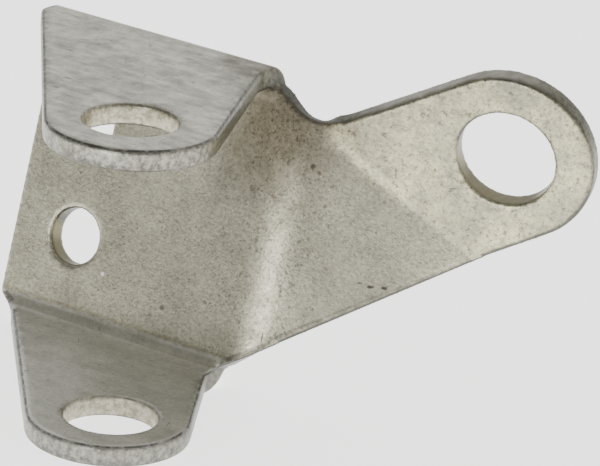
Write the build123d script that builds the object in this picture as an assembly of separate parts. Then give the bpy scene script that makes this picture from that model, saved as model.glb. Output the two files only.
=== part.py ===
from build123d import *
import os
from math import sin, cos, tan, radians

# Stamped and folded sheet-steel bracket, one piece. Millimetres.
# The origin is on the pin axis, half way between the two ears. +Z runs up the pin axis,
# +X runs along the ears' bend lines towards the arm, and the ears reach out towards -Y.

# --- driving dimensions -------------------------------------------------------------------
SHEET = 3.0                # thickness of the sheet

EAR_GAP = 36.5             # between the inner faces of the two ears
EAR_BEND_R = 1.7           # inside radius of both ear bends
PIN_BORE = 12.0            # hole through each ear
EAR_RIGHT = 1.3            # right-hand end of both ear bends
TOP_NOSE_R = 11.0          # round nose of the upper ear
TOP_NOSE_X = 0.3           # its centre, to the right of the pin axis
TOP_LEFT_TAPER = 36.7      # its left edge, degrees off the Y axis
TOP_RIGHT_TAPER = 22.0     # its right edge
LOW_NOSE_R = 10.6          # the same five for the lower ear
LOW_NOSE_X = -0.35
LOW_LEFT_TAPER = 39.5
LOW_RIGHT_TAPER = 28.0

WEB_SETBACK = 26.4         # pin axis to the front face of the web, at mid height
WEB_LEAN = 15.0            # the web leans back at the top, degrees off the pin axis
WEB_LEFT = 34.0            # pin axis to the web's free left edge
WEB_HOLE = 7.5
LOW_HOLE_X = -24.2         # lower web hole, and its distance below mid height
LOW_HOLE_DROP = 7.8
TOP_HOLE_X = -25.7         # upper web hole, and its distance above mid height
TOP_HOLE_RISE = 7.3

ARM_BEND_X = 2.6           # where the web starts to roll back into the arm
ARM_BEND_R = 12.0          # radius of that roll on the front face
ARM_BEND = 30.0            # its angle, degrees
FOLD_START = (0.8, 14.3)   # a point on the arm's slanting fold, in the arm's front view
FOLD_SLOPE = -27.5         # run of the fold in that view, degrees
FOLD = 28.0                # how far the pad is folded forward of the arm
FOLD_R = 3.0               # inside radius of the fold, on the front face

PAD_ALONG = 18.6           # pad bore: distance along the fold line
PAD_OFF = 14.3             # and square to the fold line, on the pad
PAD_BORE = 13.0
PAD_R = 11.6               # round end of the arm
PAD_TOP_EDGE = 64.0        # upper and lower edges of the pad, degrees off the fold line
PAD_LOW_EDGE = 66.0
CROTCH_SLOPE = -35.0       # edge that drops from the upper ear to the arm, degrees
CROTCH_R = 6.0             # inside corner between that edge and the arm
RUN_OUT = 2.0              # beside the crotch the fold fades into the roll over this width

EDGE_BREAK = 0.4           # worn break along the cut edges
RIM_BREAK = 0.25           # and at both ends of every hole

REACH = 2 * (WEB_LEFT + SHEET)    # half of a cutting shape, which runs past every edge

# --- planes of the flat portions (front faces) --------------------------------------------
lean = radians(WEB_LEAN)
X = Vector(1, 0, 0)
rise = Vector(0, sin(lean), cos(lean))             # up the slope of the web
web_front = Vector(0, -cos(lean), sin(lean))       # the way its front face looks
WEB = Plane(origin=(0, WEB_SETBACK, 0), x_dir=X, z_dir=web_front)

arm_turn = radians(ARM_BEND)
arm_out = X * cos(arm_turn) - web_front * sin(arm_turn)
arm_front = X * sin(arm_turn) + web_front * cos(arm_turn)
roll_centre = WEB.origin + X * ARM_BEND_X - web_front * ARM_BEND_R
ARM = Plane(origin=roll_centre + arm_front * ARM_BEND_R, x_dir=arm_out, z_dir=arm_front)

slope = radians(FOLD_SLOPE)
fold_start = ARM.from_local_coords(Vector(*FOLD_START))
fold_dir = arm_out * cos(slope) + rise * sin(slope)
fold_up = arm_front.cross(fold_dir)                # on the arm, square to the fold
fold_turn = radians(FOLD)
pad_up = fold_up * cos(fold_turn) + arm_front * sin(fold_turn)
pad_front = arm_front * cos(fold_turn) - fold_up * sin(fold_turn)
PAD = Plane(origin=fold_start, x_dir=fold_dir, z_dir=pad_front)

# --- outline of the arm, seen square to its flat -------------------------------------------
def front_view(point):
    seen = ARM.to_local_coords(point)
    return Vector(seen.X, seen.Y)


def on_pad(along, off):
    return PAD.from_local_coords(Vector(along, off))


def meet(start, direction, other_start, other_direction):
    across = direction.X * other_direction.Y - direction.Y * other_direction.X
    gap = other_start - start
    return start + direction * ((gap.X * other_direction.Y - gap.Y * other_direction.X) / across)


def arm_outline():
    """Outline of the arm up to its round end."""
    top = radians(PAD_TOP_EDGE)
    low = radians(PAD_LOW_EDGE)
    top_touch = on_pad(PAD_ALONG - PAD_R * sin(top), PAD_OFF + PAD_R * cos(top))
    top_back = top_touch - (fold_dir * cos(top) + pad_up * sin(top))
    low_touch = on_pad(PAD_ALONG + PAD_R * sin(low), PAD_OFF - PAD_R * cos(low))
    low_back = low_touch - (fold_dir * cos(low) + pad_up * sin(low))
    top_touch, top_back = front_view(top_touch), front_view(top_back)
    low_touch, low_back = front_view(low_touch), front_view(low_back)

    # the edge that drops from the upper ear starts at the inner corner of its bend
    corner = front_view(WEB.from_local_coords(Vector(EAR_RIGHT, web_height(EAR_GAP / 2))))
    drop = Vector(cos(radians(CROTCH_SLOPE)), sin(radians(CROTCH_SLOPE)))
    crotch = meet(corner, drop, top_touch, top_back - top_touch)
    low_start = meet(corner, Vector(0, 1), low_touch, low_back - low_touch)

    strap = make_face(Polyline(corner, crotch, top_touch, low_touch, low_start, close=True))
    return fillet(strap.vertices().sort_by_distance(crotch)[0], CROTCH_R)


def web_height(z):
    """Distance up the slope of the web, from mid height, of the level z on its front face."""
    return z / cos(lean)


# --- the ears: plan outline, bend and flat ---------------------------------------------------
def ear_plan(nose_r, nose_x, left_taper, right_taper):
    """Plan outline of an ear, run on past the web."""
    left = radians(left_taper)
    right = radians(right_taper)
    left_touch = Vector(nose_x - nose_r * cos(left), -nose_r * sin(left))
    right_touch = Vector(nose_x + nose_r * cos(right), nose_r * sin(right))
    left_end = meet(left_touch, Vector(-sin(left), cos(left)), Vector(-WEB_LEFT, 0), Vector(0, 1))
    right_end = meet(right_touch, Vector(-sin(right), cos(right)), Vector(EAR_RIGHT, 0), Vector(0, 1))
    sides = Polyline(right_touch, right_end, (EAR_RIGHT, REACH), (-WEB_LEFT, REACH), left_end, left_touch)
    nose = ThreePointArc(left_touch, (nose_x, -nose_r), right_touch)
    return make_face(sides + nose)


def ear_turn(side):
    return radians(90 + side * WEB_LEAN)


def ear_solids(side, nose_r, nose_x, left_taper, right_taper):
    """Flat and bend of one ear. side is 1 for the upper ear and -1 for the lower one."""
    level = side * EAR_GAP / 2
    turn = ear_turn(side)
    set_back = EAR_BEND_R * tan(turn / 2)
    corner = WEB.from_local_coords(Vector(0, web_height(level)))
    ear_end = corner - Vector(0, set_back, 0)
    web_end = corner - rise * side * set_back
    centre = ear_end - Vector(0, 0, side * EAR_BEND_R)
    outwards = (corner - centre).normalized()

    plan = ear_plan(nose_r, nose_x, left_taper, right_taper)
    flat = plan & Pos(0, ear_end.Y - REACH) * Rectangle(2 * REACH, 2 * REACH)
    flat = extrude(Pos(0, 0, level) * flat, amount=SHEET, dir=(0, 0, side))

    # the blank's slanting left edge runs on through the bend, measured at its mid-thickness
    taper = radians(left_taper)
    left_on_ear = nose_x - (nose_r + ear_end.Y * sin(taper)) / cos(taper)
    left_on_web = left_on_ear - (EAR_BEND_R + SHEET / 2) * turn * tan(taper)
    arc = Edge.make_three_point_arc(ear_end, centre + outwards * EAR_BEND_R, web_end)
    skin = Face.extrude(Pos(EAR_RIGHT) * arc, Vector(-WEB_LEFT - EAR_RIGHT, 0, 0))
    view = Plane(origin=centre, x_dir=X, z_dir=outwards)
    near = view.to_local_coords(ear_end).Y
    far = view.to_local_coords(web_end).Y
    window = Polyline(
        (EAR_RIGHT, near), (left_on_ear, near), (left_on_web, far), (EAR_RIGHT, far), close=True)
    skin &= extrude(view * make_face(window), amount=REACH)
    out = SHEET if skin.normal_at().dot(outwards) > 0 else -SHEET
    bend = Solid.thicken(skin, out)

    # and on into the web, where it trims the corner
    start = Vector(left_on_web, web_height(level) - side * set_back)
    nick = make_face(Polyline(start, start + Vector(-REACH * sin(taper), -side * REACH * cos(taper)),
                              start + Vector(-REACH, 0), close=True))
    return flat, bend, nick


def web_panel(nicks):
    """Front face of the web between the two ear bends."""
    low, high = (side * (web_height(EAR_GAP / 2) - EAR_BEND_R * tan(ear_turn(side) / 2)) for side in (-1, 1))
    panel = Pos((EAR_RIGHT - WEB_LEFT) / 2, (low + high) / 2) * Rectangle(EAR_RIGHT + WEB_LEFT, high - low)
    for nick in nicks:
        panel -= nick
    return WEB * panel


# --- web and arm: skins of front faces, thickened backwards ---------------------------------
def past(reach):
    """Everything on the arm's side of a line that runs up the arm, reach beyond the roll's end."""
    half = Pos(reach + REACH, 0) * Rectangle(2 * REACH, 2 * REACH)
    return extrude(ARM * half, amount=REACH, both=True)


def web_and_roll(cutter, nicks):
    left = WEB.from_local_coords(Vector(EAR_RIGHT, -REACH))
    roll_start = WEB.from_local_coords(Vector(ARM_BEND_X, -REACH))
    roll_middle = roll_centre - rise * REACH + (
        X * sin(arm_turn / 2) + web_front * cos(arm_turn / 2)) * ARM_BEND_R
    roll_end = ARM.origin - rise * REACH
    up = rise * 2 * REACH
    strip = Face.extrude(Edge.make_line(left, roll_start), up)
    roll = Face.extrude(Edge.make_three_point_arc(roll_start, roll_middle, roll_end), up)
    web = web_panel(nicks).faces()[0] + (strip & cutter).faces()[0]
    return Solid.thicken(Shell([*web.faces(), *(roll & cutter).faces()]), -SHEET)


def folded_arm(cutter):
    fold_set = FOLD_R * tan(fold_turn / 2)
    fold_low = fold_start - fold_up * fold_set
    fold_high = fold_start + pad_up * fold_set
    fold_centre = fold_low + arm_front * FOLD_R
    fold_middle = fold_centre - (arm_front + pad_front).normalized() * FOLD_R
    along = fold_dir * 2 * REACH
    back = fold_dir * -REACH
    low_line = Edge.make_line(fold_low + back, fold_low + back + along)
    high_line = Edge.make_line(fold_high + back, fold_high + back + along)
    arc = Edge.make_three_point_arc(fold_low + back, fold_middle + back, fold_high + back)
    strips = (Face.extrude(low_line, fold_up * -REACH), Face.extrude(arc, along),
              Face.extrude(high_line, pad_up * REACH))
    flat, fold, strap = [(strip & cutter).faces().sort_by(SortBy.AREA)[-1] for strip in strips]
    end = PAD * Pos(PAD_ALONG, PAD_OFF) * Circle(PAD_R)
    pad = strap + end.faces()[0]
    skin = [flat, fold, *pad.faces()]
    return (Solid.thicken(Shell(skin), -SHEET) & past(RUN_OUT)).solids()[0]


def cut_face(solid, reach):
    """The sheet's flat section on a line that runs up the arm, reach beyond the roll's end."""
    flats = solid.faces().filter_by(GeomType.PLANE)
    return flats.sort_by(lambda face: max(abs(front_view(v.center()).X - reach) for v in face.vertices()))[0]


def run_out(near, far):
    """The sheet between its two sections, where the fold fades into the end of the roll."""
    section = cut_face(far, RUN_OUT)
    sides = section.outer_wire().order_edges()
    sides = sides[-1:] + sides[:-1]
    heights = [front_view(corner.center()).Y for corner in cut_face(near, 0).vertices()]
    foot = front_view(sides[0].position_at(0)).Y
    up = [min(heights)]
    up += [min(heights) + front_view(side.position_at(1)).Y - foot for side in sides[:2]]
    up += [max(heights)]
    ring = [ARM.from_local_coords(Vector(0, height)) for height in up]
    ring += [corner - arm_front * SHEET for corner in reversed(ring)]
    straight = [Edge.make_line(a, b) for a, b in zip(ring, ring[1:] + ring[:1])]
    faces = [Face.make_surface_from_curves(a, b) for a, b in zip(straight, sides)]
    return Solid(Shell([*faces, Face(Wire(straight)), section]))


def web_and_arm(nicks):
    cutter = extrude(ARM * arm_outline(), amount=REACH, both=True)
    near = web_and_roll(cutter, nicks)
    far = folded_arm(cutter)
    return near + run_out(near, far) + far


# --- the holes ---------------------------------------------------------------------------------
def hole(plane, x, y, bore):
    return extrude(plane * Pos(x, y) * Circle(bore / 2), amount=2 * SHEET, both=True)


def bracket_solid():
    top_flat, top_bend, top_nick = ear_solids(
        1, TOP_NOSE_R, TOP_NOSE_X, TOP_LEFT_TAPER, TOP_RIGHT_TAPER)
    low_flat, low_bend, low_nick = ear_solids(
        -1, LOW_NOSE_R, LOW_NOSE_X, LOW_LEFT_TAPER, LOW_RIGHT_TAPER)
    sheet = web_and_arm((top_nick, low_nick))
    for piece in (top_bend, top_flat, low_bend, low_flat):
        sheet += piece
    sheet -= Cylinder(PIN_BORE / 2, 2 * EAR_GAP)
    sheet -= hole(WEB, LOW_HOLE_X, -LOW_HOLE_DROP, WEB_HOLE)
    sheet -= hole(WEB, TOP_HOLE_X, TOP_HOLE_RISE, WEB_HOLE)
    sheet -= hole(PAD, PAD_ALONG, PAD_OFF, PAD_BORE)
    return sheet


# --- worn breaks of the cut edges ----------------------------------------------------------
def cut_edges(solid):
    """Long edges where a cut side meets a face of the sheet, clear of the bends' right-hand ends."""
    found = []
    for edge in solid.edges().sort_by(SortBy.LENGTH, reverse=True):
        middle = edge.position_at(0.5)
        sides = [face for face in solid.faces() if any(edge.is_same(other) for other in face.edges())]
        square = abs(sides[0].normal_at(middle).dot(sides[-1].normal_at(middle))) < sin(lean)
        plain = edge.geom_type in (GeomType.LINE, GeomType.CIRCLE) or edge.length > PAD_R
        clear = not edge.is_closed and abs(middle.X - EAR_RIGHT) > EDGE_BREAK
        if square and plain and clear and edge.length > SHEET:
            found.append(edge)
    return found


def hole_rims(solid):
    return [edge for edge in solid.edges().filter_by(GeomType.CIRCLE) if edge.is_closed]


bracket = bracket_solid()
bracket = bracket.chamfer(RIM_BREAK, None, hole_rims(bracket))
bracket = bracket.chamfer(EDGE_BREAK, None, cut_edges(bracket))

os.makedirs("parts", exist_ok=True)
export_step(bracket, "parts/bracket.step")
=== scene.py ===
"""Worn, zinc-plated steel bracket, stamped and folded from one 3 mm sheet."""

from math import radians

import bpy
from mathutils import Matrix, Vector
from mathutils.bvhtree import BVHTree


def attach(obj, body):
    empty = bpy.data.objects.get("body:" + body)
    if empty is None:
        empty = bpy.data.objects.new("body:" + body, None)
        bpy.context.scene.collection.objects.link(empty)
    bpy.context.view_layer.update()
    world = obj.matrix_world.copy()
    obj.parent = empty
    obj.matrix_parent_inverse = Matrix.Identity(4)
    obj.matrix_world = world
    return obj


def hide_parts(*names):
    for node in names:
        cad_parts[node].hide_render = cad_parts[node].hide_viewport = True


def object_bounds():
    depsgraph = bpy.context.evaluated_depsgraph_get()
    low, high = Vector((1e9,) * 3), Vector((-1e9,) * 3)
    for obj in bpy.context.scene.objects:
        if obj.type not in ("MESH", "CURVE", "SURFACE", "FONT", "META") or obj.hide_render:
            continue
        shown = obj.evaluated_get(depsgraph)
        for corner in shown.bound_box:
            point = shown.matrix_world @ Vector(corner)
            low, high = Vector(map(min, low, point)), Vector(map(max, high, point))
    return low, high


MM = 0.001

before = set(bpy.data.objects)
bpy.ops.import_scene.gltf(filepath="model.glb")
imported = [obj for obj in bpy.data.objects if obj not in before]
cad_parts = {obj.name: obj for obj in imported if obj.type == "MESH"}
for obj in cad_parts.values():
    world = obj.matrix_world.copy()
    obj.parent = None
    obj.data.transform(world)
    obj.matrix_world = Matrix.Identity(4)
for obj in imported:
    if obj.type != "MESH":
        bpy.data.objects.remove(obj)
cad_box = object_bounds()
cad_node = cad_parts["bracket"]

# --- sizes of the sheet, in millimetres ------------------------------------------------------
SHEET = 3.0                # thickness of the sheet
WELD = 0.002               # corners of the copied faces closer than this are one
JUST_INSIDE = 0.01         # how far under a face the look through the sheet starts
GRAIN = 0.35               # side of the small faces that carry the worn edges
EDGE_SMOOTHING = 1         # passes that wear the cut edges round
PIN_RADIUS = 6.0           # of the ears' bores, round the middle
FOLD_UP = (0.400, 0.453, 0.797)    # square to the arm's fold, along the arm
FOLD_AT = 28.0             # how far that way from the pin's middle the fold lies
FOLD_HALF = 0.7            # half the width over which the finish changes at the fold
FOLD_FOOT = (28.0, 38.0, 0.0)      # the low end of the arm's fold
EAR_UNDERSIDE = 21.25      # the lower ear's underside lies this far below the middle
EAR_STEP = 39.5            # from one ear's underside to the other's
LOWER_EAR_TOP = SHEET - EAR_UNDERSIDE            # height of the lower ear's top from the middle
UPPER_EAR_UNDERSIDE = EAR_STEP - EAR_UNDERSIDE   # and of the upper ear's underside

# middle and radius of the arm's bore and of the web's holes
HOLES = (
    ((31.6, 39.3, 14.7), 6.5),
    ((-24.2, 25.8, -7.9), 3.75),
    ((-25.7, 29.7, 6.7), 3.75),
)
RIM = 1.9                  # round these holes the dark edge line, the painted edge shade and the edge grime stop this far out
RIM_FADE = 0.7             # and is back in full this much farther out

# --- sizes of the finish, in millimetres -------------------------------------------------------
# Unless its note says otherwise, each is the width of one cloud, patch or grain of its pattern.
CLOUD = 10.0               # dull clouds in the plating of the web and the arm
PAD_CLOUD = 5.882          # cream clouds on the pad
PAD_PATCH = 2.5            # grey patches on the pad
PAD_SPECK = 0.7692         # specks on the pad
STREAK_LENGTH = 6.25       # length of the rolling streaks on the ears
STREAK_WIDTH = 1.3333      # width of these, finer in truth and drawn as coarse as they need to show
ROLLED_AT = -32            # degrees that the rolling streaks are turned by, seen from above
EAR_PATCH = 3.3333         # light patches on the ears
MOTTLE = 0.5263            # zinc's crystals are finer, so they are drawn as coarse as they need to show
SPECK_CROWD = 6.25         # places where specks crowd together
SPECK = 0.3333             # small dark specks, the finest that show
PIT = 0.9091               # larger, paler pits
STAIN_AND_SHADOW_RAG = 2.8571         # rags of the border of the brown stain and its painted shadow
SCRATCH_PATH = 7.6923      # how far apart the scratches wander
SCRATCH_GAP = 2.0          # breaks along a scratch
TEAR = 0.7143              # torn grains of the cut sides, drawn as coarse as they need to show
FRACTURE_RAG = 1.4286      # rags of the fracture's border
FRET = 0.9091              # frets that the pin has rubbed in its holes
SHADE_GAP = 1.1111        # gaps in the painted shade under the arm
TUFT = 1.4286              # tufts of grime below the top edge
LINE_AT = 0.2              # how far down the cut side the thin dark line lies
LINE_BREAK = 1.6667        # breaks in that line
ZINC_GRAIN = 0.4167        # relief of the plating, drawn as coarse as it needs to show
GRAIN_DEPTH = 0.12         # depth of that relief
DULL_PATCH = 2.0           # patches where the gloss is worn off

# middle and reach of the brown stain with its painted shadow under the upper ear, of the painted highlight at
# the low end of the roll and of the painted shade in the crook of the arm
STAIN_AND_SHADOW_MIDDLE, STAIN_AND_SHADOW_REACH = (2.651, 29.601, 14.146), (12.048, 12.870, 12.195)
ROLL_HIGHLIGHT_MIDDLE, ROLL_HIGHLIGHT_REACH = (6.5, 24.0, -11.667), (5.0, 5.0, 8.333)
CROOK_SHADE_MIDDLE, CROOK_SHADE_REACH = (4.0, 33.0, 17.0), (5.0, 4.0, 5.0)

# what each of these does to the red, green and blue under it
# the brown stain, darkened further as painted shadow under the upper ear
STAIN_AND_SHADOW_DARKENS = (0.43, 0.39, 0.365, 1.0)
# painted shade in the lower ear's bend and in a thin line above it
BEND_SHADE_DARKENS = (0.47, 0.46, 0.42, 1.0)
CREASE_SHADE_DARKENS = (0.8, 0.775, 0.73, 1.0)
# painted highlight at the low end of the roll
ROLL_HIGHLIGHT_BRIGHTENS = (1.5, 1.5, 1.5, 1.0)

# place of each mark, its half widths, and its colour
MARKS = (
    ((-18.7, 23.4, -11.1), (0.28, 0.3, 0.28), "f4f2ea"),
    ((17.3, 31.9, -5.3), (0.55, 0.4, 0.22), "3c3a33"),
    ((18.9, 32.8, -5.3), (0.45, 0.4, 0.22), "3c3a33"),
    ((16.2, 31.2, -4.9), (0.4, 0.3, 0.14), "55534a"),
    ((-20.9, 16.1, 21.2), (0.5, 0.25, 0.3), "5a5850"),
    ((-14.6, 7.0, 21.2), (0.7, 0.22, 0.3), "66645c"),
    ((-13.6, 3.1, 21.2), (0.6, 0.2, 0.3), "66645c"),
    ((8.2, 30.3, 9.3), (0.35, 0.4, 0.4), "3f3d36"),
    ((6.7, 23.7, -12.9), (0.1, 0.6, 0.75), "4f4c44"),
    ((-8.6, 22.9, -12.9), (0.4, 0.4, 0.4), "5d5a50"),
)

# sockets of a node that mixes two colours: its two inputs, and its result
FIRST, SECOND, MIXED = 6, 7, 2


# --- small helpers ---------------------------------------------------------------------------
def only(piece):
    """Selects this piece alone and makes it the active one."""
    bpy.ops.object.select_all(action="DESELECT")
    piece.select_set(True)
    bpy.context.view_layer.objects.active = piece


def colour(code):
    """Linear colour of an sRGB hex code."""
    parts = [int(code[i:i + 2], 16) / 255 for i in (0, 2, 4)]
    linear = [p / 12.92 if p <= 0.04045 else ((p + 0.055) / 1.055) ** 2.4 for p in parts]
    return (*linear, 1.0)


def add(tree, kind, inputs=None, **settings):
    """A node with its settings. Each input's socket is given a value, or a link as (node, its output)."""
    made = tree.nodes.new(kind)
    for name, value in settings.items():
        setattr(made, name, value)
    for socket, value in (inputs or {}).items():
        if isinstance(value, tuple) and isinstance(value[0], bpy.types.Node):
            tree.links.new(value[0].outputs[value[1]], made.inputs[socket])
        else:
            made.inputs[socket].default_value = value
    return made


# --- the worn sheet --------------------------------------------------------------------------
def worn_copy(node):
    """A copy of the folded sheet, its doubled corners made one."""
    only(node)
    bpy.ops.object.duplicate()
    piece = bpy.context.view_layer.objects.active
    for key in list(piece.keys()):
        if key.startswith("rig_"):
            del piece[key]
    piece.parent = None
    piece.name = "worn_sheet"
    piece.data.name = "worn_sheet"
    only(piece)
    bpy.ops.object.mode_set(mode="EDIT")
    bpy.ops.mesh.select_all(action="SELECT")
    bpy.ops.mesh.remove_doubles(threshold=WELD * MM)
    bpy.ops.object.mode_set(mode="OBJECT")
    return piece


def sides_of_sheet(piece):
    """Search trees of the rolled faces of the sheet and of its cut sides. A look back through the metal
    meets the other side within about a sheet's thickness only from a rolled face."""
    points = [v.co.copy() for v in piece.data.vertices]
    faces = [tuple(p.vertices) for p in piece.data.polygons]
    whole = BVHTree.FromPolygons(points, faces)
    rolled, cut = [], []
    for face in piece.data.polygons:
        start = face.center - face.normal * JUST_INSIDE * MM
        through = whole.ray_cast(start, -face.normal)[3]
        thin = through is not None and through < 1.2 * SHEET * MM
        (rolled if thin else cut).append(tuple(face.vertices))
    return BVHTree.FromPolygons(points, rolled), BVHTree.FromPolygons(points, cut)


def even_faces(piece):
    """Draws the sheet again in small even faces, and wears its edges round."""
    remesh = piece.modifiers.new("even faces", "REMESH")
    remesh.mode = "VOXEL"
    remesh.voxel_size = GRAIN * MM
    remesh.use_smooth_shade = True
    wear = piece.modifiers.new("worn edges", "SMOOTH")
    wear.factor = 0.5
    wear.iterations = EDGE_SMOOTHING
    only(piece)
    bpy.ops.object.modifier_apply(modifier=remesh.name)
    bpy.ops.object.modifier_apply(modifier=wear.name)


def note_edges(piece, rolled, cut):
    """Notes how far past the edge each point is in mm, below zero on the rolled faces and above it on
    the cut sides, and how far up and to the left the nearest cut side looks, from -1 to 1."""
    past_edge, looks_up, looks_left = [], [], []
    for vertex in piece.data.vertices:
        to_rolled = rolled.find_nearest(vertex.co)[3]
        nearest_cut = cut.find_nearest(vertex.co)
        past_edge.append((to_rolled - nearest_cut[3]) / MM)
        looks_up.append(nearest_cut[1].z)
        looks_left.append(-nearest_cut[1].x)
    noted = {"past_edge": past_edge, "edge_looks_up": looks_up, "edge_looks_left": looks_left}
    for name, values in noted.items():
        layer = piece.data.attributes.new(name, "FLOAT", "POINT")
        layer.data.foreach_set("value", values)


sheet = worn_copy(cad_node)
rolled_faces, cut_sides = sides_of_sheet(sheet)
even_faces(sheet)
note_edges(sheet, rolled_faces, cut_sides)


# --- zinc-plated steel -------------------------------------------------------------------------
# Cold-rolled steel, punched, folded and zinc plated, then long in use. It is a dull warm grey with clouds,
# mottle and dark specks, paler on the arm's pad partly as painted sheen, cooler on the ears, and dirty along
# its cut edges, with painted shade and highlight in places.
def patch(tree, mm, middle, reach):
    """How far each point lies from the middle of a rounded patch, 1 being the patch's reach."""
    moved = add(tree, "ShaderNodeVectorMath", {0: (mm, 0), 1: middle}, operation="SUBTRACT")
    sized = add(tree, "ShaderNodeVectorMath", {0: (moved, 0), 1: reach}, operation="DIVIDE")
    return add(tree, "ShaderNodeVectorMath", {0: (sized, 0)}, operation="LENGTH")


def ear_places(tree, axes):
    """In front of the web's back, on the upper ear, on the lower ear, and on either: each from 0 to 1."""
    in_front = add(tree, "ShaderNodeMapRange", {"Value": (axes, "Y"), "From Min": 30.5, "From Max": 28.5})
    high = add(tree, "ShaderNodeMapRange", {
        "Value": (axes, "Z"), "From Min": UPPER_EAR_UNDERSIDE - 0.25, "From Max": UPPER_EAR_UNDERSIDE + 0.55})
    low = add(tree, "ShaderNodeMapRange", {
        "Value": (axes, "Z"), "From Min": LOWER_EAR_TOP + 1.65, "From Max": LOWER_EAR_TOP + 1.25})
    upper = add(tree, "ShaderNodeMath", {0: (high, 0), 1: (in_front, 0)}, operation="MULTIPLY")
    lower = add(tree, "ShaderNodeMath", {0: (low, 0), 1: (in_front, 0)}, operation="MULTIPLY")
    either = add(tree, "ShaderNodeMath", {0: (upper, 0), 1: (lower, 0)}, operation="ADD")
    return in_front, upper, lower, either


def pad_place(tree, mm, axes):
    """The arm's pad, past its fold, from 0 to 1."""
    along = add(tree, "ShaderNodeVectorMath", {0: (mm, 0), 1: FOLD_UP}, operation="DOT_PRODUCT")
    past_fold = add(tree, "ShaderNodeMapRange", {
        "Value": (along, "Value"), "From Min": FOLD_AT - FOLD_HALF, "From Max": FOLD_AT + FOLD_HALF})
    right_of_web = add(tree, "ShaderNodeMapRange", {"Value": (axes, "X"), "From Min": 8.5, "From Max": 10.5})
    return add(tree, "ShaderNodeMath", {0: (past_fold, 0), 1: (right_of_web, 0)}, operation="MULTIPLY")


def web_and_arm_plating(tree, mm, axes):
    """The plating dulls in clouds, and is a little darker toward the roll and on the arm."""
    clouds = add(tree, "ShaderNodeTexNoise", {
        "Vector": (mm, 0), "Scale": 1 / CLOUD, "Detail": 5.0, "Roughness": 0.6})
    cloud = add(tree, "ShaderNodeMapRange", {"Value": (clouds, 0), "From Min": 0.36, "From Max": 0.64})
    clouded = add(tree, "ShaderNodeMix", {
        "Factor": (cloud, 0), FIRST: colour("949180"), SECOND: colour("adaa96")}, data_type="RGBA")
    web_shade = add(tree, "ShaderNodeMapRange", {
        "Value": (axes, "X"), "From Min": -27.0, "From Max": 1.0, "To Min": 1.05, "To Max": 0.93})
    roll_shade = add(tree, "ShaderNodeMapRange", {
        "Value": (axes, "X"), "From Min": 1.0, "From Max": 4.0, "To Min": 1.0, "To Max": 1.075})
    arm_shade = add(tree, "ShaderNodeMapRange", {
        "Value": (axes, "X"), "From Min": 9.0, "From Max": 14.0, "To Min": 1.0, "To Max": 0.95})
    toward_roll = add(tree, "ShaderNodeMath", {0: (web_shade, 0), 1: (roll_shade, 0)}, operation="MULTIPLY")
    shade = add(tree, "ShaderNodeMath", {0: (toward_roll, 0), 1: (arm_shade, 0)}, operation="MULTIPLY")
    return add(tree, "ShaderNodeMix", {
        "Factor": 1.0, FIRST: (clouded, MIXED), SECOND: (shade, 0)}, data_type="RGBA", blend_type="MULTIPLY")


def pad_plating_with_sheen(tree, mm, axes):
    """The pad is creamy, partly a painted sheen where it faces the light, with grey patches and specks, and
    dulls toward its top edge.
    """
    clouds = add(tree, "ShaderNodeTexNoise", {
        "Vector": (mm, 0), "Scale": 1 / PAD_CLOUD, "Detail": 5.0, "Roughness": 0.6})
    cloud = add(tree, "ShaderNodeMapRange", {"Value": (clouds, 0), "From Min": 0.38, "From Max": 0.62})
    # pale cream, partly a painted sheen of the light on the pad's face
    cream_with_sheen = add(tree, "ShaderNodeMix", {
        "Factor": (cloud, 0), FIRST: colour("aaa68f"), SECOND: colour("cdc8a6")}, data_type="RGBA")
    patches = add(tree, "ShaderNodeTexNoise", {
        "Vector": (mm, 0), "Scale": 1 / PAD_PATCH, "Detail": 6.0, "Roughness": 0.75})
    grey_share = add(tree, "ShaderNodeMapRange", {
        "Value": (patches, 0), "From Min": 0.52, "From Max": 0.4, "To Max": 0.6})
    greyed = add(tree, "ShaderNodeMix", {
        "Factor": (grey_share, 0), FIRST: (cream_with_sheen, MIXED), SECOND: colour("918f80")}, data_type="RGBA")
    specks = add(tree, "ShaderNodeTexNoise", {
        "Vector": (mm, 0), "Scale": 1 / PAD_SPECK, "Detail": 6.0, "Roughness": 0.8})
    speck_share = add(tree, "ShaderNodeMapRange", {
        "Value": (specks, 0), "From Min": 0.455, "From Max": 0.38, "To Max": 0.75})
    specked = add(tree, "ShaderNodeMix", {
        "Factor": (speck_share, 0), FIRST: (greyed, MIXED), SECOND: colour("55534a")}, data_type="RGBA")
    toward_top = add(tree, "ShaderNodeMapRange", {
        "Value": (axes, "Z"), "From Min": 16.0, "From Max": 24.0, "To Min": 1.0, "To Max": 0.85})
    return add(tree, "ShaderNodeMix", {
        "Factor": 1.0, FIRST: (specked, MIXED), SECOND: (toward_top, 0)},
        data_type="RGBA", blend_type="MULTIPLY")


def joined_plating(tree, mm, web_and_arm, pad_with_sheen, on_pad):
    """The web and arm with the pad. Toward the foot of the fold the arm is as pale as the pad, a painted
    sheen where the fold turns toward the light.
    """
    both = add(tree, "ShaderNodeMix", {
        "Factor": (on_pad, 0), FIRST: (web_and_arm, MIXED), SECOND: (pad_with_sheen, MIXED)}, data_type="RGBA")
    from_foot = add(tree, "ShaderNodeVectorMath", {0: (mm, 0), 1: FOLD_FOOT}, operation="DISTANCE")
    near_foot = add(tree, "ShaderNodeMapRange", {
        "Value": (from_foot, "Value"), "From Min": 14.0, "From Max": 1.0})
    off_pad = add(tree, "ShaderNodeMath", {0: 1.0, 1: (on_pad, 0)}, operation="SUBTRACT")
    foot_sheen = add(tree, "ShaderNodeMath", {0: (near_foot, 0), 1: (off_pad, 0)}, operation="MULTIPLY")
    # painted sheen near the foot of the fold
    return add(tree, "ShaderNodeMix", {
        "Factor": (foot_sheen, 0), FIRST: (both, MIXED), SECOND: colour("cfcab4")}, data_type="RGBA")


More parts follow.
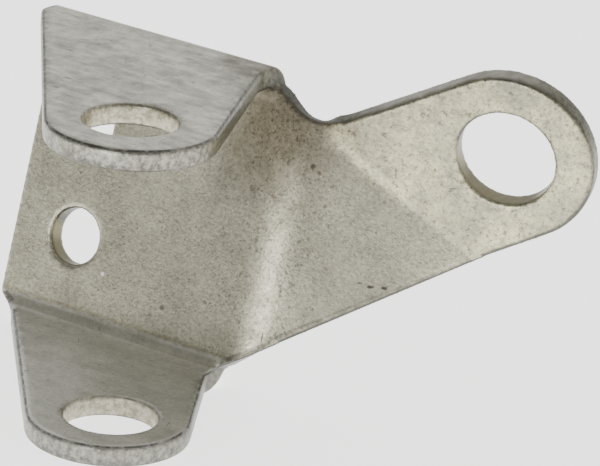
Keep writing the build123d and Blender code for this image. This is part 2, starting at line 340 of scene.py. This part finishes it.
def with_ear_plating(tree, mm, axes, plating, upper, lower):
    """The ears keep a cooler grey, drawn out along the way the sheet was rolled. The lower is the paler."""
    turned = add(tree, "ShaderNodeMapping", {
        "Vector": (mm, 0), "Rotation": (0, 0, radians(ROLLED_AT)),
        "Scale": (1 / STREAK_LENGTH, 1 / STREAK_WIDTH, 1 / STREAK_WIDTH)})
    streaks = add(tree, "ShaderNodeTexNoise", {
        "Vector": (turned, 0), "Scale": 1.0, "Detail": 5.0, "Roughness": 0.65})
    streak = add(tree, "ShaderNodeMapRange", {"Value": (streaks, 0), "From Min": 0.32, "From Max": 0.68})
    patches = add(tree, "ShaderNodeTexNoise", {
        "Vector": (mm, 0), "Scale": 1 / EAR_PATCH, "Detail": 5.0, "Roughness": 0.65})
    patched = add(tree, "ShaderNodeMapRange", {"Value": (patches, 0), "From Min": 0.36, "From Max": 0.64})
    rolled = add(tree, "ShaderNodeMix", {
        "Factor": 0.5, FIRST: (streak, 0), SECOND: (patched, 0)}, data_type="RGBA")
    upper_grey = add(tree, "ShaderNodeMix", {
        "Factor": (rolled, MIXED), FIRST: colour("838176"), SECOND: colour("dbd8ca")}, data_type="RGBA")
    lower_grey = add(tree, "ShaderNodeMix", {
        "Factor": (rolled, MIXED), FIRST: colour("cbcac0"), SECOND: colour("f0efe4")}, data_type="RGBA")
    to_right = add(tree, "ShaderNodeMapRange", {
        "Value": (axes, "X"), "From Min": -18.0, "From Max": 2.0, "To Min": 1.0, "To Max": 0.86})
    lower_shaded = add(tree, "ShaderNodeMix", {
        "Factor": 1.0, FIRST: (lower_grey, MIXED), SECOND: (to_right, 0)},
        data_type="RGBA", blend_type="MULTIPLY")
    with_upper = add(tree, "ShaderNodeMix", {
        "Factor": (upper, 0), FIRST: (plating, MIXED), SECOND: (upper_grey, MIXED)}, data_type="RGBA")
    return add(tree, "ShaderNodeMix", {
        "Factor": (lower, 0), FIRST: (with_upper, MIXED), SECOND: (lower_shaded, MIXED)}, data_type="RGBA")


def mottled(tree, mm, plating, ears):
    """A fine mottle of worn zinc, fainter on the ears."""
    grains = add(tree, "ShaderNodeTexNoise", {
        "Vector": (mm, 0), "Scale": 1 / MOTTLE, "Detail": 4.0, "Roughness": 0.7})
    strong = add(tree, "ShaderNodeMapRange", {
        "Value": (grains, 0), "From Min": 0.3, "From Max": 0.7, "To Min": 0.7, "To Max": 1.26})
    faint = add(tree, "ShaderNodeMapRange", {
        "Value": (grains, 0), "From Min": 0.3, "From Max": 0.7, "To Min": 0.85, "To Max": 1.13})
    mottle = add(tree, "ShaderNodeMix", {
        "Factor": (ears, 0), FIRST: (strong, 0), SECOND: (faint, 0)}, data_type="RGBA")
    return add(tree, "ShaderNodeMix", {
        "Factor": 1.0, FIRST: (plating, MIXED), SECOND: (mottle, MIXED)},
        data_type="RGBA", blend_type="MULTIPLY")


def specked(tree, mm, axes, plating, ears):
    """Dark specks and pits, thickest on the outside of the arm's roll and few on the ears."""
    onto_roll = add(tree, "ShaderNodeMapRange", {
        "Value": (axes, "X"), "From Min": -3.0, "From Max": 3.0, "To Max": 0.055})
    off_roll = add(tree, "ShaderNodeMapRange", {"Value": (axes, "X"), "From Min": 15.0, "From Max": 7.0})
    on_roll = add(tree, "ShaderNodeMath", {0: (onto_roll, 0), 1: (off_roll, 0)}, operation="MULTIPLY")
    off_ears = add(tree, "ShaderNodeMath", {0: 1.0, 1: (ears, 0)}, operation="SUBTRACT")
    by_roll = add(tree, "ShaderNodeMath", {0: (on_roll, 0), 1: (off_ears, 0)}, operation="MULTIPLY")
    crowds = add(tree, "ShaderNodeTexNoise", {
        "Vector": (mm, 0), "Scale": 1 / SPECK_CROWD, "Detail": 2.0, "Roughness": 0.6})
    by_crowd = add(tree, "ShaderNodeMapRange", {
        "Value": (crowds, 0), "From Min": 0.4, "From Max": 0.62, "To Max": 0.04})
    crowding = add(tree, "ShaderNodeMath", {0: (by_crowd, 0), 1: (by_roll, 0)}, operation="ADD")
    by_ears = add(tree, "ShaderNodeMath", {0: (ears, 0), 1: 0.05}, operation="MULTIPLY")
    more = add(tree, "ShaderNodeMath", {0: (crowding, 0), 1: (by_ears, 0)}, operation="SUBTRACT")
    marked = plating
    for size, detail, roughness, none_at, full_at, most, code in (
            (SPECK, 2.0, 0.5, 0.38, 0.26, 0.52, "504e44"),
            (PIT, 3.0, 0.6, 0.32, 0.25, 0.6, "57544b")):
        spots = add(tree, "ShaderNodeTexNoise", {
            "Vector": (mm, 0), "Scale": 1 / size, "Detail": detail, "Roughness": roughness})
        lowered = add(tree, "ShaderNodeMath", {0: (spots, 0), 1: (more, 0)}, operation="SUBTRACT")
        share = add(tree, "ShaderNodeMapRange", {
            "Value": (lowered, 0), "From Min": none_at, "From Max": full_at, "To Max": most})
        marked = add(tree, "ShaderNodeMix", {
            "Factor": (share, 0), FIRST: (marked, MIXED), SECOND: colour(code)}, data_type="RGBA")
    return marked


def brown_stain_and_shadow(tree, mm):
    """A ragged brown stain on the web under the upper ear, partly painted shadow cast by the ear, from 0 to
    1.
    """
    from_middle = patch(tree, mm, STAIN_AND_SHADOW_MIDDLE, STAIN_AND_SHADOW_REACH)
    rags = add(tree, "ShaderNodeTexNoise", {
        "Vector": (mm, 0), "Scale": 1 / STAIN_AND_SHADOW_RAG, "Detail": 4.0, "Roughness": 0.6})
    rag = add(tree, "ShaderNodeMapRange", {
        "Value": (rags, 0), "From Min": 0.3, "From Max": 0.7, "To Min": -0.15, "To Max": 0.15})
    ragged = add(tree, "ShaderNodeMath", {0: (from_middle, "Value"), 1: (rag, 0)}, operation="ADD")
    return add(tree, "ShaderNodeMapRange", {
        "Value": (ragged, 0), "From Min": 1.1, "From Max": 0.3, "To Max": 0.92})


def shaded_bend(tree, axes, marked, in_front):
    """Painted shade inside the lower ear's bend, with a thin dark line of painted shade above it."""
    above_ear = add(tree, "ShaderNodeMapRange", {
        "Value": (axes, "Z"), "From Min": LOWER_EAR_TOP - 0.01, "From Max": LOWER_EAR_TOP + 0.25})
    below_web = add(tree, "ShaderNodeMapRange", {
        "Value": (axes, "Z"), "From Min": LOWER_EAR_TOP + 1.75, "From Max": LOWER_EAR_TOP + 1.45})
    fading = add(tree, "ShaderNodeMapRange", {
        "Value": (axes, "Z"), "From Min": LOWER_EAR_TOP + 1.05, "From Max": LOWER_EAR_TOP + 1.45,
        "To Min": 1.0, "To Max": 0.7})
    between = add(tree, "ShaderNodeMath", {0: (above_ear, 0), 1: (below_web, 0)}, operation="MULTIPLY")
    inside = add(tree, "ShaderNodeMath", {0: (between, 0), 1: (in_front, 0)}, operation="MULTIPLY")
    bend = add(tree, "ShaderNodeMath", {0: (inside, 0), 1: (fading, 0)}, operation="MULTIPLY")
    # painted shade inside the bend
    bend_shaded = add(tree, "ShaderNodeMix", {
        "Factor": (bend, 0), FIRST: (marked, MIXED), SECOND: BEND_SHADE_DARKENS},
        data_type="RGBA", blend_type="MULTIPLY")
    line_low = add(tree, "ShaderNodeMapRange", {
        "Value": (axes, "Z"), "From Min": LOWER_EAR_TOP + 1.55, "From Max": LOWER_EAR_TOP + 1.75})
    line_high = add(tree, "ShaderNodeMapRange", {
        "Value": (axes, "Z"), "From Min": LOWER_EAR_TOP + 2.15, "From Max": LOWER_EAR_TOP + 1.85})
    on_line = add(tree, "ShaderNodeMath", {0: (line_low, 0), 1: (line_high, 0)}, operation="MULTIPLY")
    line = add(tree, "ShaderNodeMath", {0: (on_line, 0), 1: (in_front, 0)}, operation="MULTIPLY")
    # painted shade: a thin dark line along the top of the bend
    return add(tree, "ShaderNodeMix", {
        "Factor": (line, 0), FIRST: (bend_shaded, MIXED), SECOND: CREASE_SHADE_DARKENS},
        data_type="RGBA", blend_type="MULTIPLY")


def highlighted_and_scratched(tree, mm, marked):
    """A painted highlight, brightening where the roll runs out at the bottom, and broken hair scratches all
    over.
    """
    from_highlight = patch(tree, mm, ROLL_HIGHLIGHT_MIDDLE, ROLL_HIGHLIGHT_REACH)
    highlight = add(tree, "ShaderNodeMapRange", {
        "Value": (from_highlight, "Value"), "From Min": 1.4, "From Max": 0.3, "To Max": 0.85})
    # painted highlight where the roll runs out at the bottom
    highlighted = add(tree, "ShaderNodeMix", {
        "Factor": (highlight, 0), FIRST: (marked, MIXED), SECOND: ROLL_HIGHLIGHT_BRIGHTENS},
        data_type="RGBA", blend_type="MULTIPLY")
    paths = add(tree, "ShaderNodeTexNoise", {
        "Vector": (mm, 0), "Scale": 1 / SCRATCH_PATH, "Detail": 3.0, "Roughness": 0.5})
    aside = add(tree, "ShaderNodeMath", {0: (paths, 0), 1: 0.5}, operation="SUBTRACT")
    off_path = add(tree, "ShaderNodeMath", {0: (aside, 0)}, operation="ABSOLUTE")
    on_path = add(tree, "ShaderNodeMapRange", {
        "Value": (off_path, 0), "From Min": 0.006, "From Max": 0.002, "To Max": 0.5})
    gaps = add(tree, "ShaderNodeTexNoise", {
        "Vector": (mm, 0), "Scale": 1 / SCRATCH_GAP, "Detail": 4.0, "Roughness": 0.7})
    kept = add(tree, "ShaderNodeMapRange", {"Value": (gaps, 0), "From Min": 0.48, "From Max": 0.6})
    scratch = add(tree, "ShaderNodeMath", {0: (on_path, 0), 1: (kept, 0)}, operation="MULTIPLY")
    return add(tree, "ShaderNodeMix", {
        "Factor": (scratch, 0), FIRST: (highlighted, MIXED), SECOND: colour("5b594e")}, data_type="RGBA")


def with_single_marks(tree, mm, marked):
    """A bare spot, dark dents and a few nicks, each at its own place."""
    for middle, reach, code in MARKS:
        from_mark = patch(tree, mm, middle, reach)
        share = add(tree, "ShaderNodeMapRange", {
            "Value": (from_mark, "Value"), "From Min": 1.2, "From Max": 0.6, "To Max": 0.85})
        marked = add(tree, "ShaderNodeMix", {
            "Factor": (share, 0), FIRST: (marked, MIXED), SECOND: colour(code)}, data_type="RGBA")
    return marked


def away_from_holes(tree, mm):
    """0 at the arm's bore and the web's holes, and 1 away from them."""
    clear = []
    for middle, radius in HOLES:
        apart = add(tree, "ShaderNodeVectorMath", {0: (mm, 0), 1: middle}, operation="DISTANCE")
        clear.append(add(tree, "ShaderNodeMapRange", {
            "Value": (apart, "Value"), "From Min": radius + RIM, "From Max": radius + RIM + RIM_FADE}))
    arm_bore, lower_hole, upper_hole = clear
    web_holes = add(tree, "ShaderNodeMath", {0: (lower_hole, 0), 1: (upper_hole, 0)}, operation="MULTIPLY")
    return add(tree, "ShaderNodeMath", {0: (arm_bore, 0), 1: (web_holes, 0)}, operation="MULTIPLY")


def torn_metal_lit_and_shaded(tree, mm, axes):
    """The torn steel of the cut sides, painted lighter or darker by how the light falls on them: grey on the
    ears' noses, palest on the arm and dark elsewhere.
    """
    tears = add(tree, "ShaderNodeTexNoise", {
        "Vector": (mm, 0), "Scale": 1 / TEAR, "Detail": 4.0, "Roughness": 0.75})
    torn = add(tree, "ShaderNodeMapRange", {"Value": (tears, 0), "From Min": 0.35, "From Max": 0.65})
    # painted light and shade: one torn steel in three tones, chosen by place
    on_noses, on_arm, elsewhere = [
        add(tree, "ShaderNodeMix", {
            "Factor": (torn, 0), FIRST: colour(low), SECOND: colour(high)}, data_type="RGBA")
        for low, high in (("696760", "aaa69a"), ("7d7b70", "bcb9aa"), ("4a4940", "7b7968"))]
    left_of_arm = add(tree, "ShaderNodeMapRange", {"Value": (axes, "X"), "From Min": 17.0, "From Max": 12.0})
    round_end = add(tree, "ShaderNodeMapRange", {"Value": (axes, "X"), "From Min": 33.0, "From Max": 38.0})
    off_the_arm = add(tree, "ShaderNodeMath", {0: (left_of_arm, 0), 1: (round_end, 0)}, operation="ADD")
    behind_noses = add(tree, "ShaderNodeMix", {
        "Factor": (off_the_arm, 0), FIRST: (on_arm, MIXED), SECOND: (elsewhere, MIXED)}, data_type="RGBA")
    past_noses = add(tree, "ShaderNodeMapRange", {"Value": (axes, "Y"), "From Min": -4.0, "From Max": 5.0})
    return add(tree, "ShaderNodeMix", {
        "Factor": (past_noses, 0), FIRST: (on_noses, MIXED), SECOND: (behind_noses, MIXED)},
        data_type="RGBA")


def with_cut_sides(tree, mm, axes, edge, marked, behind, off_holes):
    """The cut sides: torn metal, with the darker fracture at its foot, painted shade in the crook of the arm,
    and dirt in holes.
    """
    torn = torn_metal_lit_and_shaded(tree, mm, axes)
    height = add(tree, "ShaderNodeMath", {0: (axes, "Z"), 1: EAR_UNDERSIDE}, operation="ADD")
    up_the_cut = add(tree, "ShaderNodeMath", {0: (height, 0), 1: EAR_STEP}, operation="MODULO")
    rags = add(tree, "ShaderNodeTexNoise", {
        "Vector": (mm, 0), "Scale": 1 / FRACTURE_RAG, "Detail": 4.0, "Roughness": 0.7})
    rag = add(tree, "ShaderNodeMapRange", {
        "Value": (rags, 0), "From Min": 0.3, "From Max": 0.7, "To Min": -0.7, "To Max": 0.7})
    ragged = add(tree, "ShaderNodeMath", {0: (up_the_cut, 0), 1: (rag, 0)}, operation="ADD")
    low_down = add(tree, "ShaderNodeMapRange", {
        "Value": (ragged, 0), "From Min": 1.2, "From Max": 0.2, "To Max": 0.75})
    on_noses = add(tree, "ShaderNodeMath", {0: 1.0, 1: (behind, 0)}, operation="SUBTRACT")
    fracture = add(tree, "ShaderNodeMath", {0: (low_down, 0), 1: (on_noses, 0)}, operation="MULTIPLY")
    fractured = add(tree, "ShaderNodeMix", {
        "Factor": (fracture, 0), FIRST: (torn, MIXED), SECOND: colour("5f5d58")}, data_type="RGBA")
    # painted shade in the crook of the arm, under the upper ear
    from_crook = patch(tree, mm, CROOK_SHADE_MIDDLE, CROOK_SHADE_REACH)
    crook_shade = add(tree, "ShaderNodeMapRange", {
        "Value": (from_crook, "Value"), "From Min": 1.5, "From Max": 0.7, "To Max": 0.75})
    crook_shaded = add(tree, "ShaderNodeMix", {
        "Factor": (crook_shade, 0), FIRST: (fractured, MIXED), SECOND: colour("45453f")}, data_type="RGBA")
    in_holes = add(tree, "ShaderNodeMapRange", {"Value": (off_holes, 0), "To Min": 0.85, "To Max": 0.0})
    holed = add(tree, "ShaderNodeMix", {
        "Factor": (in_holes, 0), FIRST: (crook_shaded, MIXED), SECOND: colour("746f55")}, data_type="RGBA")
    cut = add(tree, "ShaderNodeMapRange", {"Value": (edge, "Fac"), "From Min": 0.15, "From Max": 0.45})
    return add(tree, "ShaderNodeMix", {
        "Factor": (cut, 0), FIRST: (marked, MIXED), SECOND: (holed, MIXED)}, data_type="RGBA")


def with_rubbed_pin_holes(tree, mm, marked, from_pin):
    """The pin has rubbed its holes paler inside, in frets."""
    in_hole = add(tree, "ShaderNodeMapRange", {
        "Value": (from_pin, "Value"), "From Min": PIN_RADIUS + 0.35, "From Max": PIN_RADIUS + 0.1,
        "To Max": 0.65})
    frets = add(tree, "ShaderNodeTexNoise", {
        "Vector": (mm, 0), "Scale": 1 / FRET, "Detail": 6.0, "Roughness": 0.8})
    fretted = add(tree, "ShaderNodeMapRange", {"Value": (frets, 0), "From Min": 0.4, "From Max": 0.58})
    wall = add(tree, "ShaderNodeMix", {
        "Factor": (fretted, 0), FIRST: colour("969079"), SECOND: colour("dfd9c3")}, data_type="RGBA")
    return add(tree, "ShaderNodeMix", {
        "Factor": (in_hole, 0), FIRST: (marked, MIXED), SECOND: (wall, MIXED)}, data_type="RGBA")


def with_edge_shade_and_grime(tree, mm, axes, edge, marked, behind, off_holes):
    """Painted shade under the arm, on its down-facing lower edge and in a broken ribbon along it, and grime
    in tufts below its top edge.
    """
    facing = add(tree, "ShaderNodeNewGeometry")
    normal = add(tree, "ShaderNodeSeparateXYZ", {"Vector": (facing, "Normal")})
    looks_up = add(tree, "ShaderNodeAttribute", attribute_name="edge_looks_up")

    # painted shade: cut sides facing down under the arm are darkened
    downward = add(tree, "ShaderNodeMapRange", {"Value": (normal, "Z"), "From Min": -0.1, "From Max": -0.4})
    underneath = add(tree, "ShaderNodeMath", {0: (downward, 0), 1: (behind, 0)}, operation="MULTIPLY")
    by_edge = add(tree, "ShaderNodeMapRange", {
        "Value": (edge, "Fac"), "From Min": -0.3, "From Max": 0.05, "To Max": 0.8})
    lower_edge = add(tree, "ShaderNodeMath", {0: (underneath, 0), 1: (by_edge, 0)}, operation="MULTIPLY")
    marked = add(tree, "ShaderNodeMix", {
        "Factor": (lower_edge, 0), FIRST: (marked, MIXED), SECOND: colour("4a4943")}, data_type="RGBA")

    away = add(tree, "ShaderNodeMath", {0: (behind, 0), 1: (off_holes, 0)}, operation="MULTIPLY")
    width = add(tree, "ShaderNodeMapRange", {
        "Value": (axes, "X"), "From Min": 5.0, "From Max": 25.0, "To Min": 1.0, "To Max": 0.4})
    into_ribbon = add(tree, "ShaderNodeMath", {0: (edge, "Fac"), 1: (width, 0)}, operation="ADD")
    on_ribbon = add(tree, "ShaderNodeMapRange", {"Value": (into_ribbon, 0), "From Max": 0.25})
    wears = add(tree, "ShaderNodeTexNoise", {
        "Vector": (mm, 0), "Scale": 1 / SHADE_GAP, "Detail": 4.0, "Roughness": 0.7})
    broken_up = add(tree, "ShaderNodeMapRange", {
        "Value": (wears, 0), "From Min": 0.35, "From Max": 0.6, "To Min": 0.35, "To Max": 0.85})
    looks_down = add(tree, "ShaderNodeMapRange", {
        "Value": (looks_up, "Fac"), "From Min": -0.2, "From Max": -0.5})
    worn_ribbon = add(tree, "ShaderNodeMath", {0: (on_ribbon, 0), 1: (broken_up, 0)}, operation="MULTIPLY")
    down_away = add(tree, "ShaderNodeMath", {0: (looks_down, 0), 1: (away, 0)}, operation="MULTIPLY")
    ribbon = add(tree, "ShaderNodeMath", {0: (worn_ribbon, 0), 1: (down_away, 0)}, operation="MULTIPLY")
    # painted shade: a broken dark ribbon along the down-facing lower edge
    marked = add(tree, "ShaderNodeMix", {
        "Factor": (ribbon, 0), FIRST: (marked, MIXED), SECOND: colour("55544d")}, data_type="RGBA")

    tufts = add(tree, "ShaderNodeTexNoise", {
        "Vector": (mm, 0), "Scale": 1 / TUFT, "Detail": 5.0, "Roughness": 0.75})
    in_tufts = add(tree, "ShaderNodeMapRange", {
        "Value": (tufts, 0), "From Min": 0.44, "From Max": 0.58, "To Max": 0.85})
    near_edge = add(tree, "ShaderNodeMapRange", {
        "Value": (edge, "Fac"), "From Min": -1.1, "From Max": 0.0, "To Max": 0.7})
    upward = add(tree, "ShaderNodeMapRange", {"Value": (looks_up, "Fac"), "From Min": 0.3, "From Max": 0.6})
    tufted = add(tree, "ShaderNodeMath", {0: (near_edge, 0), 1: (in_tufts, 0)}, operation="MULTIPLY")
    up_away = add(tree, "ShaderNodeMath", {0: (upward, 0), 1: (away, 0)}, operation="MULTIPLY")
    top_grime = add(tree, "ShaderNodeMath", {0: (tufted, 0), 1: (up_away, 0)}, operation="MULTIPLY")
    return add(tree, "ShaderNodeMix", {
        "Factor": (top_grime, 0), FIRST: (marked, MIXED), SECOND: colour("605f55")}, data_type="RGBA")


def with_edge_line(tree, mm, axes, edge, marked, from_pin, off_holes):
    """A thin, broken dark line along the edges, fainter round the holes, to the left and at the back."""
    aside = add(tree, "ShaderNodeMath", {0: (edge, "Fac"), 1: LINE_AT}, operation="SUBTRACT")
    off_line = add(tree, "ShaderNodeMath", {0: (aside, 0)}, operation="ABSOLUTE")
    on_line = add(tree, "ShaderNodeMapRange", {"Value": (off_line, 0), "From Min": 0.26, "From Max": 0.1})
    breaks = add(tree, "ShaderNodeTexNoise", {
        "Vector": (mm, 0), "Scale": 1 / LINE_BREAK, "Detail": 5.0, "Roughness": 0.75})
    broken = add(tree, "ShaderNodeMapRange", {
        "Value": (breaks, 0), "From Min": 0.38, "From Max": 0.55, "To Min": 0.3, "To Max": 0.9})
    off_pin = add(tree, "ShaderNodeMapRange", {
        "Value": (from_pin, "Value"), "From Min": PIN_RADIUS + 1.2, "From Max": PIN_RADIUS + 2.2,
        "To Min": 0.6, "To Max": 1.0})
    fainter_at_holes = add(tree, "ShaderNodeMapRange", {
        "Value": (off_holes, 0), "To Min": 0.15, "To Max": 1.0})
    looks_left = add(tree, "ShaderNodeAttribute", attribute_name="edge_looks_left")
    fainter_to_left = add(tree, "ShaderNodeMapRange", {
        "Value": (looks_left, "Fac"), "From Min": 0.6, "From Max": 0.9, "To Min": 1.0, "To Max": 0.6})
    fainter_at_back = add(tree, "ShaderNodeMapRange", {
        "Value": (axes, "Y"), "From Min": 20.0, "From Max": 30.0, "To Min": 1.0, "To Max": 0.45})
    line = on_line
    for share in (broken, off_pin, fainter_at_holes, fainter_to_left, fainter_at_back):
        line = add(tree, "ShaderNodeMath", {0: (line, 0), 1: (share, 0)}, operation="MULTIPLY")
    return add(tree, "ShaderNodeMix", {
        "Factor": (line, 0), FIRST: (marked, MIXED), SECOND: colour("42423e")}, data_type="RGBA")


def surface_of_plating(tree, mm, marked, lower, stain_and_shadow):
    """Bare metal's gloss, softened by fine grain and wear. The lower ear's chalky zinc shines least."""
    grains = add(tree, "ShaderNodeTexNoise", {
        "Vector": (mm, 0), "Scale": 1 / ZINC_GRAIN, "Detail": 4.0, "Roughness": 0.65})
    bump = add(tree, "ShaderNodeBump", {
        "Height": (grains, 0), "Strength": 0.35, "Distance": GRAIN_DEPTH * MM})
    wears = add(tree, "ShaderNodeTexNoise", {
        "Vector": (mm, 0), "Scale": 1 / DULL_PATCH, "Detail": 4.0, "Roughness": 0.6})
    dull = add(tree, "ShaderNodeMapRange", {
        "Value": (wears, 0), "From Min": 0.3, "From Max": 0.7, "To Min": 0.32, "To Max": 0.46})
    stain_and_shadow_dull = add(tree, "ShaderNodeMath", {0: (stain_and_shadow, 0), 1: 0.25}, operation="MULTIPLY")
    roughness = add(tree, "ShaderNodeMath", {0: (dull, 0), 1: (stain_and_shadow_dull, 0)}, operation="ADD")
    metallic = add(tree, "ShaderNodeMapRange", {"Value": (lower, 0), "To Min": 1.0, "To Max": 0.5})
    return add(tree, "ShaderNodeBsdfPrincipled", {
        "Base Color": (marked, MIXED), "Metallic": (metallic, 0), "Roughness": (roughness, 0),
        "Normal": (bump, 0)})


def zinc_plated_steel():
    """Zinc-plated steel sheet, punched, folded and worn."""
    material = bpy.data.materials.new("zinc_plated_steel_worn")
    material.use_nodes = True
    tree = material.node_tree
    tree.nodes.clear()
    place = add(tree, "ShaderNodeTexCoord")
    mm = add(tree, "ShaderNodeVectorMath", {0: (place, "Object"), 1: (1 / MM,) * 3}, operation="MULTIPLY")
    axes = add(tree, "ShaderNodeSeparateXYZ", {"Vector": (mm, 0)})
    edge = add(tree, "ShaderNodeAttribute", attribute_name="past_edge")
    level = add(tree, "ShaderNodeVectorMath", {0: (mm, 0), 1: (1.0, 1.0, 0.0)}, operation="MULTIPLY")
    from_pin = add(tree, "ShaderNodeVectorMath", {0: (level, 0)}, operation="LENGTH")
    behind = add(tree, "ShaderNodeMapRange", {"Value": (axes, "Y"), "From Min": 2.0, "From Max": 9.0})
    in_front, upper, lower, ears = ear_places(tree, axes)
    off_holes = away_from_holes(tree, mm)
    stain_and_shadow = brown_stain_and_shadow(tree, mm)

    plating = joined_plating(tree, mm, web_and_arm_plating(tree, mm, axes), pad_plating_with_sheen(tree, mm, axes),
                             pad_place(tree, mm, axes))
    plating = with_ear_plating(tree, mm, axes, plating, upper, lower)
    plating = mottled(tree, mm, plating, ears)
    marked = specked(tree, mm, axes, plating, ears)
    # the brown stain under the upper ear, partly painted shadow of the ear
    marked = add(tree, "ShaderNodeMix", {
        "Factor": (stain_and_shadow, 0), FIRST: (marked, MIXED), SECOND: STAIN_AND_SHADOW_DARKENS},
        data_type="RGBA", blend_type="MULTIPLY")
    marked = shaded_bend(tree, axes, marked, in_front)
    marked = highlighted_and_scratched(tree, mm, marked)
    marked = with_single_marks(tree, mm, marked)
    marked = with_cut_sides(tree, mm, axes, edge, marked, behind, off_holes)
    marked = with_rubbed_pin_holes(tree, mm, marked, from_pin)
    marked = with_edge_shade_and_grime(tree, mm, axes, edge, marked, behind, off_holes)
    marked = with_edge_line(tree, mm, axes, edge, marked, from_pin, off_holes)
    shader = surface_of_plating(tree, mm, marked, lower, stain_and_shadow)
    add(tree, "ShaderNodeOutputMaterial", {"Surface": (shader, "BSDF")})
    return material


sheet.data.materials.clear()
sheet.data.materials.append(zinc_plated_steel())
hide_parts("bracket")
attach(sheet, "root")


# --- floor, lights and camera ------------------------------------------------------------------
FLOOR_LEVEL = cad_box[0].z
FLOOR_SIDE = 6.0                   # metres
FLOOR_GLOW = 2.0                   # strength of the light box under the floor
GLOW_BEHIND = 1.3                  # the surroundings' brightness behind the bracket
GLOW_IN_FRONT = 0.1                # and on the camera's side of it
CAMERA_LENS = 270.0                # millimetres
CAMERA_SENSOR = 36.0               # millimetres
CAMERA_NEAREST = 0.05              # metres
CAMERA_FARTHEST = 20.0             # metres
CAMERA_PLACE = (0.29300, -0.43317, 0.20563)
CAMERA_RIGHT = Vector((0.83307, 0.54787, 0.07638))
CAMERA_UP = Vector((-0.25450, 0.25701, 0.93230))
CAMERA_BACK = Vector((0.49114, -0.79611, 0.35354))


def lit_acrylic():
    """White acrylic sheet over a light box: matt, plain and softly bright."""
    material = bpy.data.materials.new("lit_white_acrylic")
    material.use_nodes = True
    shader = material.node_tree.nodes["Principled BSDF"]
    shader.inputs["Base Color"].default_value = colour("f4f4f2")
    shader.inputs["Roughness"].default_value = 0.9
    shader.inputs["Emission Color"].default_value = colour("ffffff")
    shader.inputs["Emission Strength"].default_value = FLOOR_GLOW
    return material


def lay_floor():
    """The acrylic sheet that the bracket just touches."""
    bpy.ops.object.select_all(action="DESELECT")
    bpy.ops.mesh.primitive_plane_add(size=FLOOR_SIDE, location=(0, 0, FLOOR_LEVEL))
    floor = bpy.context.view_layer.objects.active
    floor.name = "floor"
    floor.data.materials.append(lit_acrylic())


def surround():
    """Plain white surroundings, bright behind the bracket and dim in front of it."""
    world = bpy.data.worlds.new("white surroundings")
    bpy.context.scene.world = world
    world.use_nodes = True
    sky = world.node_tree
    direction = add(sky, "ShaderNodeTexCoord")
    axes = add(sky, "ShaderNodeSeparateXYZ", {"Vector": (direction, "Generated")})
    glow = add(sky, "ShaderNodeMapRange", {
        "Value": (axes, "Y"), "From Min": -1.0, "From Max": 1.0,
        "To Min": GLOW_IN_FRONT, "To Max": GLOW_BEHIND})
    sky.nodes["Background"].inputs["Color"].default_value = colour("ffffff")
    sky.links.new(glow.outputs[0], sky.nodes["Background"].inputs["Strength"])


def softbox(name, azimuth, elevation, distance, size, power):
    """A square soft light, looking at the middle of the bracket."""
    bpy.ops.object.light_add(type="AREA")
    lamp = bpy.context.view_layer.objects.active
    lamp.name = name
    lamp.data.shape = "SQUARE"
    lamp.data.size = size
    lamp.data.energy = power
    turn = Matrix.Rotation(radians(azimuth), 4, "Z") @ Matrix.Rotation(radians(-elevation), 4, "X")
    back = turn @ Vector((0, -1, 0))
    lamp.location = back * distance
    lamp.rotation_mode = "QUATERNION"
    lamp.rotation_quaternion = (-back).to_track_quat("-Z", "Y")


def set_camera():
    """The camera that the whole scene is framed for."""
    lens = bpy.data.cameras.new("camera")
    lens.lens = CAMERA_LENS
    lens.sensor_width = CAMERA_SENSOR
    lens.clip_start = CAMERA_NEAREST
    lens.clip_end = CAMERA_FARTHEST
    camera = bpy.data.objects.new("camera", lens)
    bpy.context.scene.collection.objects.link(camera)
    camera.matrix_world = Matrix((CAMERA_RIGHT, CAMERA_UP, CAMERA_BACK)).transposed().to_4x4()
    camera.location = CAMERA_PLACE
    bpy.context.scene.camera = camera


lay_floor()
surround()
softbox("front softbox", azimuth=4, elevation=5, distance=0.6, size=0.12, power=1.1)
set_camera()
